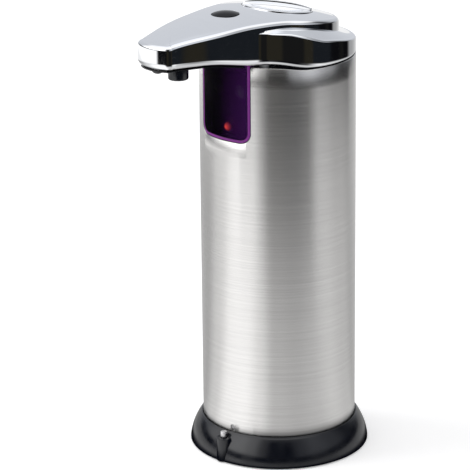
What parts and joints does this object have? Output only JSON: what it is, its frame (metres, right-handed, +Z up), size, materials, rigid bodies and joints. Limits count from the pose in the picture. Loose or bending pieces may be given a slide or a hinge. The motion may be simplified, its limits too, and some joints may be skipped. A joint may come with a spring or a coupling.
{
  "type": "automatic soap dispenser",
  "caption": "Touch-free soap dispenser: steel-sleeved round body on a flared black base, chrome beaked head with nozzle, sensor window, power button and screw cap.",
  "frame": {"origin": "on the body's axis, on the surface that the grip pad stands on", "axes": "+Z up along the body's axis, -Y to the front where the beak and the sensor window are, +X to the right of someone who looks along +Y"},
  "size_m": [0.0764, 0.1117, 0.1965],
  "materials": {
    "chrome_cover": "polished chrome plating on plastic",
    "brushed_sleeve": "fine brushing round the tube",
    "steel": "plain turned steel",
    "brass": "plain spring brass",
    "black_plastic": "satin moulding",
    "black_gloss": "glossy moulding",
    "black_rubber": "matt",
    "grey_plastic": "satin moulding",
    "milk_plastic": "milky moulding",
    "white_acetal": "smooth",
    "silicone": "smooth, milky",
    "window_tint": "dark purple infrared window, polished",
    "red_lamp": "clear red",
    "clear_lamp": "clear, bluish",
    "dark_lamp": "dark",
    "board_green": "lacquered board",
    "cell_jacket": "plain blue sleeve",
    "red_wire": "insulated lead",
    "grey_wire": "insulated lead"
  },
  "bodies": {
    "dispenser": {"head_cover": "chrome_cover", "head_tray": "black_plastic", "underside_panel": "black_gloss", "beak_lens": "black_gloss", "nozzle": "black_plastic", "nozzle_valve": "black_rubber", "outlet_tube": "silicone", "tact_switch": "black_plastic", "control_board": "board_green", "board_connector": "white_acetal", "board_screw_front": "steel", "board_screw_rear": "steel", "reservoir_lid": "grey_plastic", "reservoir": "milk_plastic", "inlet_strainer": "white_acetal", "steel_sleeve": "brushed_sleeve", "sensor_window": "window_tint", "window_frame": "black_plastic", "sensor_board": "black_plastic", "indicator_light": "red_lamp", "infrared_emitter": "clear_lamp", "infrared_receiver": "dark_lamp", "sensor_lead": "grey_wire", "power_lead": "red_wire", "pump_housing": "grey_plastic", "pump_cover": "grey_plastic", "pump_screw_near": "steel", "pump_screw_far": "steel", "idler_pin": "steel", "shaft_seal": "black_rubber", "motor": "steel", "motor_mount": "black_plastic", "base_ring": "black_plastic", "lock_screw": "steel", "locating_pip": "grey_plastic", "battery_box": "black_plastic", "cell_front_left": "cell_jacket", "cell_front_right": "cell_jacket", "cell_rear_left": "cell_jacket", "cell_rear_right": "cell_jacket", "upper_contact_left": "brass", "upper_contact_right": "brass", "hinge_pin": "steel"},
    "button": {"power_button": "black_gloss"},
    "plunger": {"switch_plunger": "grey_plastic"},
    "seal": {"cap_seal": "black_rubber"},
    "cap": {"fill_cap": "chrome_cover"},
    "bottom_cover": {"battery_cover": "black_plastic", "grip_pad": "black_rubber", "lower_contact_front": "brass", "lower_contact_rear": "brass"},
    "driven_shaft": {"motor_shaft": "steel", "drive_gear": "white_acetal"},
    "idler": {"idler_gear": "white_acetal"}
  },
  "joints": [
    {"name": "button_press", "type": "slide", "parent": "dispenser", "child": "button", "axis": [0, 0.0147, -0.9999], "range_m": [0, 0.0008], "stiffness_N_per_m": 400},
    {"name": "plunger_press", "type": "slide", "parent": "dispenser", "child": "plunger", "axis": [0, 0, -1], "range_m": [0, 0.0008]},
    {"name": "cap_lift", "type": "slide", "parent": "dispenser", "child": "seal", "axis": [0, 0.1644, 0.9864], "range_m": [0, 0.006]},
    {"name": "cap_turn", "type": "hinge", "parent": "seal", "child": "cap", "pos_m": [0, 0, 0.19325], "axis": [0, 0.1644, 0.9864], "range_deg": [0, 360]},
    {"name": "bottom_cover_hinge", "type": "hinge", "parent": "dispenser", "child": "bottom_cover", "pos_m": [0, 0.0325, 0.0018], "axis": [1, 0, 0], "range_deg": [0, 80]},
    {"name": "motor_spin", "type": "hinge", "parent": "dispenser", "child": "driven_shaft", "pos_m": [0, 0, 0.06], "axis": [0, 0, 1], "continuous": true},
    {"name": "idler_spin", "type": "hinge", "parent": "dispenser", "child": "idler", "pos_m": [0.012, 0, 0.06], "axis": [0, 0, 1], "continuous": true}
  ],
  "couplings": [
    {"joint": "plunger_press", "follows": "button_press", "ratio": 1},
    {"joint": "cap_lift", "follows": "cap_turn", "m_per_rad": 0.00095},
    {"joint": "idler_spin", "follows": "motor_spin", "ratio": -1}
  ]
}
